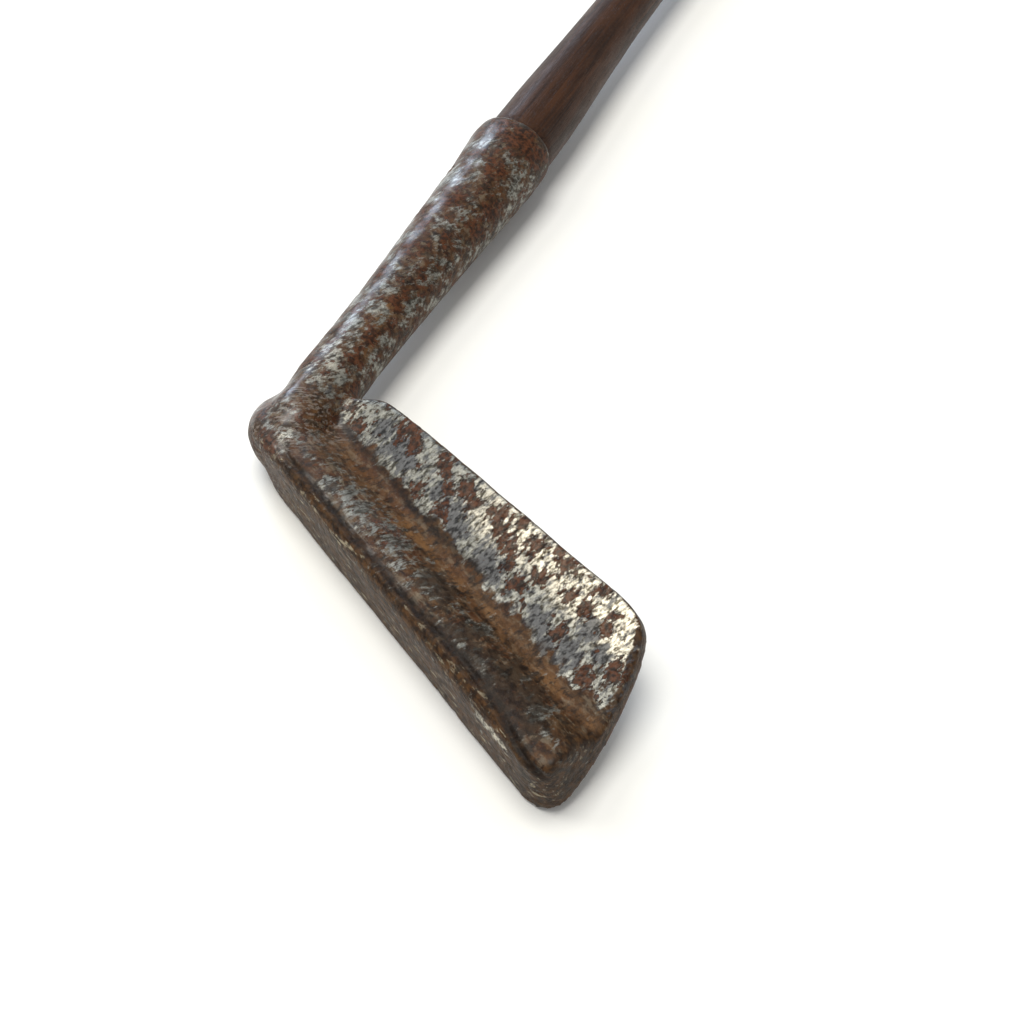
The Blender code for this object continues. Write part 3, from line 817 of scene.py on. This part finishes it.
def ragged_patch_group():
    """A painted field cut off at zero, with a ragged, flaking edge."""
    tree, given, out = new_group(
        "ragged_patch",
        [("Vector", "Vector", None), ("Field", "Float", 0.0), ("Size", "Float", 1.0),
         ("Raggedness", "Float", 1.0), ("Softness", "Float", 0.1)],
        ["Mask"],
    )  # fmt: skip
    scale = divided(tree, 1.0, given["Size"])
    value = cloud(tree, given["Vector"], scale, 6.0, 0.68)
    offset = minus(tree, value, 0.5)
    offset = times(tree, offset, given["Raggedness"])
    field = plus(tree, given["Field"], offset)
    low = times(tree, given["Softness"], -1.0)
    feed(tree, out["Mask"], rise(tree, field, low, given["Softness"]))
    return tree


def hair_lines_group():
    """Long fine lines along X: scratches, fibres or creases."""
    tree, given, out = new_group(
        "hair_lines",
        [("Vector", "Vector", None), ("Length", "Float", 8.0), ("Spacing", "Float", 0.4),
         ("Rarity", "Float", 0.6)],
        ["Mask"],
    )  # fmt: skip
    along = divided(tree, 1.0, given["Length"])
    across = divided(tree, 1.0, given["Spacing"])
    scale = add(tree, "ShaderNodeCombineXYZ", {0: along, 1: across, 2: across}).outputs[0]
    vector = add(tree, "ShaderNodeVectorMath", {0: given["Vector"], 1: scale}, operation="MULTIPLY")
    value = cloud(tree, vector.outputs[0], 1.0, 3.0, 0.55, 0.25)
    high = plus(tree, given["Rarity"], 0.1)
    feed(tree, out["Mask"], rise(tree, value, given["Rarity"], high))
    return tree


def corrosion_group():
    """Heights of an eaten surface: round pits over a fine crust."""
    tree, given, out = new_group(
        "corrosion", [("Vector", "Vector", None), ("Size", "Float", 1.0), ("Pits", "Float", 0.5)], ["Height"]
    )
    scale = divided(tree, 1.0, given["Size"])
    crust = cloud(tree, given["Vector"], scale, 6.0, 0.7)
    cells = add(tree, "ShaderNodeTexVoronoi", {"Vector": given["Vector"], "Scale": scale, "Randomness": 1.0})
    pits = rise(tree, cells.outputs["Distance"], 0.42, 0.12)
    pits = times(tree, pits, given["Pits"])
    feed(tree, out["Height"], minus(tree, crust, pits))
    return tree


GROUPS = {
    "mottle": mottle_group(),
    "ragged_patch": ragged_patch_group(),
    "hair_lines": hair_lines_group(),
    "corrosion": corrosion_group(),
}


def effect(tree, name, inputs):
    """The first output of one of the shared groups, placed in a material with its own values."""
    node = tree.nodes.new("ShaderNodeGroup")
    node.node_tree = GROUPS[name]
    for socket, value in inputs.items():
        feed(tree, node.inputs[socket], value)
    return node.outputs[0]


def mottle(tree, vector, size, cover=0.5, contrast=1.0):
    return effect(tree, "mottle", {"Vector": vector, "Size": size, "Cover": cover, "Contrast": contrast})


def ragged_patch(tree, vector, field, size, raggedness=2.0, softness=0.1):
    inputs = {"Vector": vector, "Field": field, "Size": size, "Raggedness": raggedness, "Softness": softness}
    return effect(tree, "ragged_patch", inputs)


def hair_lines(tree, vector, length, spacing, rarity):
    inputs = {"Vector": vector, "Length": length, "Spacing": spacing, "Rarity": rarity}
    return effect(tree, "hair_lines", inputs)


def corrosion(tree, vector, size, pits):
    return effect(tree, "corrosion", {"Vector": vector, "Size": size, "Pits": pits})


def new_material(name):
    """(the material, its node tree, its Principled shader)."""
    material = bpy.data.materials.new(name)
    material.use_nodes = True
    return material, material.node_tree, material.node_tree.nodes["Principled BSDF"]


def raised(tree, shader, height, depth):
    """Bump on a shader, of a depth in mm."""
    bump = add(tree, "ShaderNodeBump", {"Height": height, "Distance": depth * MM})
    bump.inputs["Strength"].default_value = 1.0
    feed(tree, shader.inputs["Normal"], bump.outputs[0])


# ---------------------------------------------------------------- materials

BLADE_TURN = math.atan2(-SOLE_WAY[1], SOLE_WAY[0])
HEEL_TURN = -math.atan2(ACROSS_HEEL[1], ACROSS_HEEL[0])


def rusted_iron():
    """Forged iron a century old: bare metal up the blade, rust and slate oxide on the rest."""
    material, tree, shader = new_material("rusted_iron")
    # Places on the club, some along the blade or across the heel, some drawn out by a stretch
    place = millimetres(tree)
    along = millimetres(tree, BLADE_TURN, (1.9, 1.0, 1.0))
    straight = millimetres(tree, BLADE_TURN)
    brushed = millimetres(tree, BLADE_TURN, (0.8, 1.7, 1.2))
    across = millimetres(tree, HEEL_TURN)
    bare, rust, slate = painted(tree, "bare"), painted(tree, "rust"), painted(tree, "slate")
    orange, grime_and_shade, scrape = painted(tree, "orange"), painted(tree, "grime_and_shade"), painted(tree, "scrape")
    sole, heel, upper, polish_and_highlight = [painted(tree, name) for name in ("sole", "heel", "upper", "polish_and_highlight")]
    grit = mottle(tree, place, 1.5, 0.5, 1.1)
    fine = mottle(tree, place, 0.5, 0.5, 1.1)
    flake = mottle(tree, along, 3.2, 0.5, 1.4)

    # Brown crust with ashy flakes, then orange powder
    skin = layer(tree, grit, colour(24, 14, 7), colour(88, 62, 38))
    skin = layer(tree, times(tree, fine, 0.35), skin, colour(30, 20, 12))
    skin = layer(tree, times(tree, flake, 0.5), skin, colour(82, 48, 26))
    ashy = mottle(tree, along, 1.4, 0.36, 1.8)
    skin = layer(tree, times(tree, ashy, 0.5), skin, colour(120, 108, 90))
    powder = layer(tree, mottle(tree, along, 1.6, 0.5, 1.2), colour(70, 47, 27), colour(122, 87, 52))
    dust = times(tree, orange, between(tree, flake, 0.85, 0.3), clamp=True)
    skin = layer(tree, dust, skin, powder)

    # The duller sole, scratches along the blade, and the heel's rubbing
    dull = layer(tree, mottle(tree, along, 1.1, 0.5, 1.2), colour(28, 16, 8), colour(86, 60, 35))
    skin = layer(tree, times(tree, sole, 0.85), skin, dull)
    streaks = hair_lines(tree, straight, 2.6, 0.8, 0.56)
    streaks = times(tree, streaks, mottle(tree, along, 5.0, 0.5, 1.6))
    scratched = times(tree, streaks, scrape, clamp=True)
    skin = layer(tree, times(tree, scratched, 0.8), skin, colour(180, 168, 142))
    rubbed = times(tree, hair_lines(tree, across, 4.5, 0.5, 0.50), heel, clamp=True)
    skin = layer(tree, times(tree, rubbed, 0.5), skin, colour(140, 130, 122))

    # Bare metal, grey or polished; the polished colour is partly a painted highlight
    crisp = mottle(tree, brushed, 0.8, 0.56, 1.5)
    grey = layer(tree, crisp, colour(60, 58, 52), colour(140, 139, 131))
    polished_and_highlit = layer(tree, crisp, colour(92, 85, 71), colour(226, 217, 196))
    silver = layer(tree, polish_and_highlight, grey, polished_and_highlit)
    flecks = mottle(tree, brushed, 0.5, 0.32, 1.8)
    silver = layer(tree, times(tree, flecks, 0.5), silver, colour(70, 60, 46))
    metal_field = reckon(tree, "MULTIPLY_ADD", bare, 1.5, -0.62)
    metal = ragged_patch(tree, brushed, metal_field, 1.6, 3.4, 0.3)
    skin = layer(tree, metal, skin, silver)

    # Slate oxide, rust spots, and darkening that is partly painted shade, over the metal
    oxide = ragged_patch(tree, brushed, slate, 1.3, 3.6, 0.25)
    stone = layer(tree, crisp, colour(36, 36, 38), colour(86, 86, 88))
    umber = layer(tree, grit, colour(24, 16, 9), colour(56, 44, 33))
    oxide_share = times(tree, oxide, 0.85)
    skin = layer(tree, oxide_share, skin, layer(tree, upper, umber, stone))

    spot = ragged_patch(tree, brushed, rust, 1.15, 3.6, 0.1)
    red = layer(tree, mottle(tree, place, 0.9, 0.5, 1.3), colour(32, 17, 9), colour(88, 51, 30))
    spot_share = times(tree, spot, 0.9)
    skin = layer(tree, spot_share, skin, red)

    # Darkening in hollows, on edges and at the socket's rim, partly painted shade beside the crease and on
    # edges that turn away
    dirt_and_shade = times(tree, grime_and_shade, between(tree, grit, 0.95, 0.65), clamp=True)
    skin = layer(tree, dirt_and_shade, skin, colour(20, 12, 6))
    feed(tree, shader.inputs["Base Color"], skin)

    # How metallic and how rough each of these is
    shine = times(tree, metal, between(tree, spot_share, 0.95, 0.0))
    shine = times(tree, shine, between(tree, oxide_share, 1.0, 0.4))
    shine = times(tree, shine, between(tree, dirt_and_shade, 1.0, 0.2))
    shine = reckon(tree, "MAXIMUM", shine, times(tree, scratched, 0.4))
    feed(tree, shader.inputs["Metallic"], times(tree, shine, 0.9))
    rough = between(tree, shine, 0.42, 0.35)
    rough = plus(tree, rough, times(tree, grit, 0.1))
    feed(tree, shader.inputs["Roughness"], rough)
    feed(tree, shader.inputs["Coat Weight"], painted(tree, "sheen"))
    shader.inputs["Coat Roughness"].default_value = 0.24
    shader.inputs["Specular IOR Level"].default_value = 0.12

    eaten = corrosion(tree, place, 1.2, 0.35)
    crust = corrosion(tree, place, 0.45, 0.2)
    height = plus(tree, eaten, times(tree, crust, 0.5))
    height = times(tree, height, between(tree, shine, 1.0, 0.6))
    height = plus(tree, height, times(tree, spot, 0.25))
    height = minus(tree, height, times(tree, scratched, 0.3))
    raised(tree, shader, height, 0.14)
    return material


def pin_steel():
    """Steel pin and tacks: dulled metal with a brown bloom."""
    material, tree, shader = new_material("pin_steel")
    place = millimetres(tree)
    bloom = mottle(tree, place, 0.9, 0.55, 1.6)
    fine = mottle(tree, place, 0.3, 0.5, 1.4)
    steel = layer(tree, fine, colour(96, 90, 82), colour(150, 144, 134))
    rust = layer(tree, fine, colour(62, 42, 32), colour(104, 72, 52))
    feed(tree, shader.inputs["Base Color"], layer(tree, bloom, steel, rust))
    feed(tree, shader.inputs["Metallic"], between(tree, bloom, 0.85, 0.1))
    feed(tree, shader.inputs["Roughness"], between(tree, bloom, 0.38, 0.75))
    lines = hair_lines(tree, place, 2.0, 0.12, 0.55)
    height = minus(tree, corrosion(tree, place, 0.4, 0.4), times(tree, lines, 0.3))
    raised(tree, shader, height, 0.06)
    return material


def hickory():
    """Dark stained hickory under old varnish: fine fibres and open pores along the shaft."""
    material, tree, shader = new_material("hickory")
    place = millimetres(tree)
    grain_way = millimetres(tree, -math.pi / 2)
    fibre = hair_lines(tree, grain_way, 26.0, 0.34, 0.42)
    pores = hair_lines(tree, grain_way, 3.2, 0.16, 0.60)
    rings = cloud(tree, millimetres(tree, stretch=(1.0, 42.0, 1.0)), 0.62, 2.0, 0.5, 0.8)
    rings = rise(tree, rings, 0.35, 0.65)
    wood = layer(tree, rings, colour(34, 17, 8), colour(64, 37, 20))
    wood = layer(tree, times(tree, fibre, 0.25), wood, colour(80, 52, 32))
    stain = mottle(tree, millimetres(tree, stretch=(1.0, 3.0, 1.0)), 3.0, 0.5, 1.0)
    wood = layer(tree, times(tree, stain, 0.3), wood, colour(32, 18, 10))
    wood = layer(tree, times(tree, pores, 0.6), wood, colour(20, 12, 8))
    speck = mottle(tree, place, 0.5, 0.3, 2.4)
    wood = layer(tree, times(tree, speck, 0.15), wood, colour(92, 66, 46))
    feed(tree, shader.inputs["Base Color"], wood)
    feed(tree, shader.inputs["Roughness"], between(tree, stain, 0.40, 0.52))
    feed(tree, shader.inputs["Coat Weight"], between(tree, pores, 0.08, 0.0))
    shader.inputs["Coat Roughness"].default_value = 0.3
    shader.inputs["Specular IOR Level"].default_value = 0.14
    height = minus(tree, times(tree, fibre, 0.35), pores)
    height = plus(tree, height, times(tree, speck, 0.25))
    raised(tree, shader, height, 0.07)
    return material


def old_leather():
    """Grip leather gone dark with use, with fine grain, creases and paler rubbed edges."""
    material, tree, shader = new_material("old_leather")
    place = millimetres(tree)
    worn = painted(tree, "edge_wear")
    cells = add(tree, "ShaderNodeTexVoronoi", {"Vector": place, "Scale": 1.6}, feature="DISTANCE_TO_EDGE")
    grain = rise(tree, cells.outputs["Distance"], 0.0, 0.28)
    handling = mottle(tree, place, 14.0, 0.5, 0.9)
    patches = mottle(tree, place, 4.0, 0.45, 1.4)
    hide = layer(tree, handling, colour(38, 27, 21), colour(68, 46, 32))
    hide = layer(tree, times(tree, patches, 0.4), hide, colour(84, 58, 40))
    hide = layer(tree, grain, layer(tree, 0.5, hide, colour(20, 15, 12)), hide)
    rubbed = ragged_patch(tree, place, minus(tree, worn, 0.55), 1.6, 1.6, 0.25)
    hide = layer(tree, times(tree, rubbed, 0.6), hide, colour(122, 90, 62))
    feed(tree, shader.inputs["Base Color"], hide)
    feed(tree, shader.inputs["Roughness"], between(tree, handling, 0.42, 0.62))
    creases = hair_lines(tree, millimetres(tree, 0.35), 4.0, 0.5, 0.56)
    height = minus(tree, times(tree, grain, 0.7), times(tree, creases, 0.8))
    raised(tree, shader, height, 0.12)
    return material


def waxed_thread():
    """Black waxed thread: twisted plies with a soft shine and patches of dust."""
    material, tree, shader = new_material("waxed_thread")
    place = millimetres(tree)
    twist = painted(tree, "twist")
    plies = reckon(tree, "SINE", times(tree, twist, TURN))
    plies = rise(tree, plies, -1.0, 1.0)
    dusty = mottle(tree, place, 1.2, 0.4, 1.2)
    thread = layer(tree, plies, colour(20, 17, 15), colour(50, 42, 36))
    thread = layer(tree, times(tree, dusty, 0.35), thread, colour(96, 82, 66))
    feed(tree, shader.inputs["Base Color"], thread)
    feed(tree, shader.inputs["Roughness"], between(tree, dusty, 0.45, 0.7))
    raised(tree, shader, plies, 0.09)
    return material


def woven_cloth():
    """Buff cotton: over and under weave, browned in patches."""
    material, tree, shader = new_material("woven_cloth")
    place = millimetres(tree)
    warp = add(tree, "ShaderNodeTexWave", {"Vector": place, "Scale": 0.55}, bands_direction="Y")
    weft = add(tree, "ShaderNodeTexWave", {"Vector": place, "Scale": 0.55}, bands_direction="X")
    weave = times(tree, warp.outputs["Fac"], weft.outputs["Fac"])
    soiled = mottle(tree, place, 3.0, 0.5, 1.2)
    cloth = layer(tree, weave, colour(104, 84, 58), colour(172, 150, 116))
    cloth = layer(tree, times(tree, soiled, 0.5), cloth, colour(88, 66, 46))
    feed(tree, shader.inputs["Base Color"], cloth)
    feed(tree, shader.inputs["Roughness"], between(tree, soiled, 0.85, 0.95))
    raised(tree, shader, weave, 0.1)
    return material


def pale_table():
    """A matt white board, a little creamy in broad patches."""
    material, tree, shader = new_material("pale_table")
    place = millimetres(tree)
    cream = mottle(tree, place, 160.0, 0.5, 0.8)
    board = layer(tree, cream, colour(246, 246, 245), colour(247, 246, 240))
    feed(tree, shader.inputs["Base Color"], board)
    shader.inputs["Roughness"].default_value = 0.8
    shader.inputs["Specular IOR Level"].default_value = 0.2
    raised(tree, shader, cloud(tree, place, 1.4, 4.0, 0.6), 0.02)
    return material


# ---------------------------------------------------------------- studio


def table_top():
    half = 4.0
    mesh = bpy.data.meshes.new("table_top")
    corners = [(-half, -half, 0), (half, -half, 0), (half, half, 0), (-half, half, 0)]
    mesh.from_pydata(corners, [], [(0, 1, 2, 3)])
    mesh.materials.append(pale_table())
    table = bpy.data.objects.new("table_top", mesh)
    bpy.context.scene.collection.objects.link(table)


def soft_lamp(name, way, distance, size, power, tint):
    """A square soft lamp a distance away from the head, facing it."""
    lamp = bpy.data.lights.new(name, "AREA")
    lamp.size = size
    lamp.energy = power
    lamp.color = tint
    holder = bpy.data.objects.new(name, lamp)
    bpy.context.scene.collection.objects.link(holder)
    way = Vector(way).normalized()
    aim = Vector(blade_point(35, 12, 5)) * MM
    holder.location = aim + way * distance
    holder.rotation_euler = way.to_track_quat("Z", "Y").to_euler()


def studio():
    table_top()
    soft_lamp("ceiling_lamp", (-0.10, 0.0, 0.99), 1.7, 0.85, 21.0, (1.0, 0.985, 0.94))
    soft_lamp("window_lamp", (-0.55, -0.14, 0.82), 1.1, 0.3, 2.0, (1.0, 0.98, 0.92))
    soft_lamp("cool_lamp", (-0.66, 0.64, 0.40), 1.2, 0.42, 5.0, (0.70, 0.82, 1.0))
    world = bpy.data.worlds.new("studio_air")
    bpy.context.scene.world = world
    world.use_nodes = True
    world.node_tree.nodes["Background"].inputs["Color"].default_value = (0.98, 0.99, 1.0, 1.0)
    world.node_tree.nodes["Background"].inputs["Strength"].default_value = 0.44
    bpy.context.scene.view_settings.view_transform = "Standard"


CAMERA_PLACE = np.array((129.3, -156.0, 238.9))  # from the heel's lowest point
CAMERA_AIM = np.array((40.4, 15.8, 0.0))  # the same
CAMERA_LENS = 59.77


def camera():
    """Looks down on the back of the head from the sole's side."""
    eye = Vector(HEEL_POINT + CAMERA_PLACE) * MM
    target = Vector(HEEL_POINT + CAMERA_AIM) * MM
    forward = (target - eye).normalized()
    right = forward.cross(Vector(np.cross((0, 0, 1), ACROSS_HEEL))).normalized()
    lens = bpy.data.cameras.new("camera")
    lens.sensor_width = 36
    lens.lens = CAMERA_LENS
    lens.clip_start = 0.005
    holder = bpy.data.objects.new("camera", lens)
    bpy.context.scene.collection.objects.link(holder)
    turn = Matrix((right, right.cross(forward), -forward)).transposed()
    holder.matrix_world = Matrix.Translation(eye) @ turn.to_4x4()
    bpy.context.scene.camera = holder


def build_club():
    iron, steel = rusted_iron(), pin_steel()
    forged_head(iron)
    peened_pin(steel)
    hickory_shaft(hickory())
    cloth_wrap(woven_cloth())
    grip_strip(old_leather())
    thread = waxed_thread()
    whipping("lower_thread", "lower_whipping", LOWER_WHIPPING, thread)
    whipping("upper_thread", "upper_whipping", UPPER_WHIPPING, thread)
    domed_tack("lower_tack", LOWER_TACK, "lower_grip_tack", steel)
    domed_tack("upper_tack", BUTT_TACK, "butt_tack", steel)


build_club()
studio()
camera()
